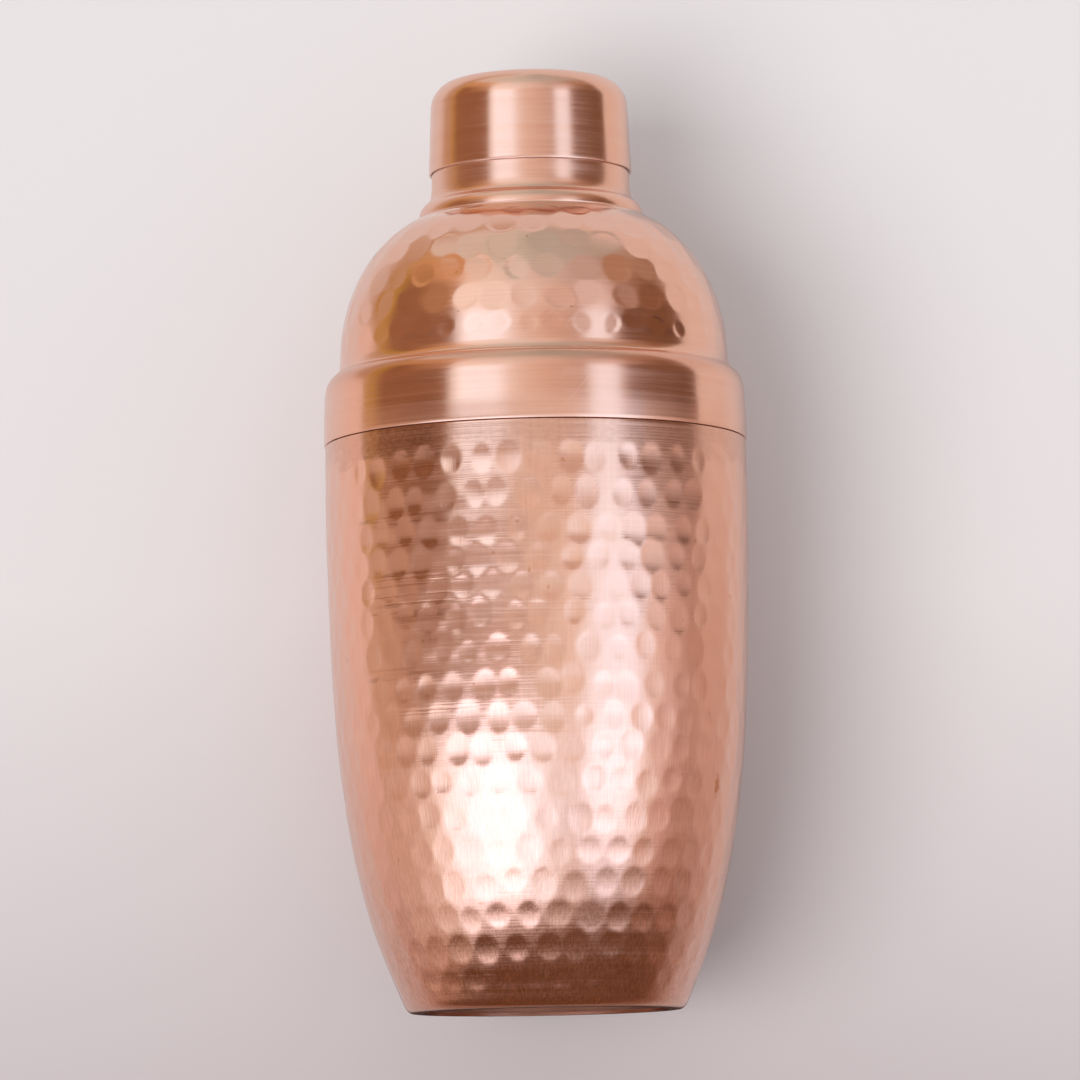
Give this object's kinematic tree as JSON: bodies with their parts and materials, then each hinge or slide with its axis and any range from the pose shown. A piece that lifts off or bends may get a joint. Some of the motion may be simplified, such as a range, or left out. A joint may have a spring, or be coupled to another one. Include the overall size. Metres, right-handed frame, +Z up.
{
  "type": "cocktail shaker",
  "caption": "Cobbler cocktail shaker in hammered copper: tapered tumbler, domed top with smooth collar, built-in strainer, and a small smooth cap.",
  "frame": {"origin": "centre of the underside of the foot, on the table plane", "axes": "+Z up along the turning axis, from the foot to the cap; the shaker is round, so +X and +Y are free; -Y is taken as the front"},
  "size_m": [0.0888, 0.0888, 0.1964],
  "materials": {
    "hammered_copper": "hammered and lightly brushed",
    "brushed_copper": "brushed round the axis, satin",
    "strainer_copper": "satin"
  },
  "bodies": {
    "tumbler": {"body_shell": "hammered_copper", "base_plate": "brushed_copper"},
    "strainer_top": {"dome_shell": "hammered_copper", "collar_band": "brushed_copper", "strainer_plate": "strainer_copper"},
    "cap": {"cap_shell": "brushed_copper"}
  },
  "joints": [
    {"name": "strainer_lift", "type": "slide", "parent": "tumbler", "child": "strainer_top", "axis": [0, 0, 1], "range_m": [0, 0.06]},
    {"name": "cap_lift", "type": "slide", "parent": "strainer_top", "child": "cap", "axis": [0, 0, 1], "range_m": [0, 0.045]}
  ]
}
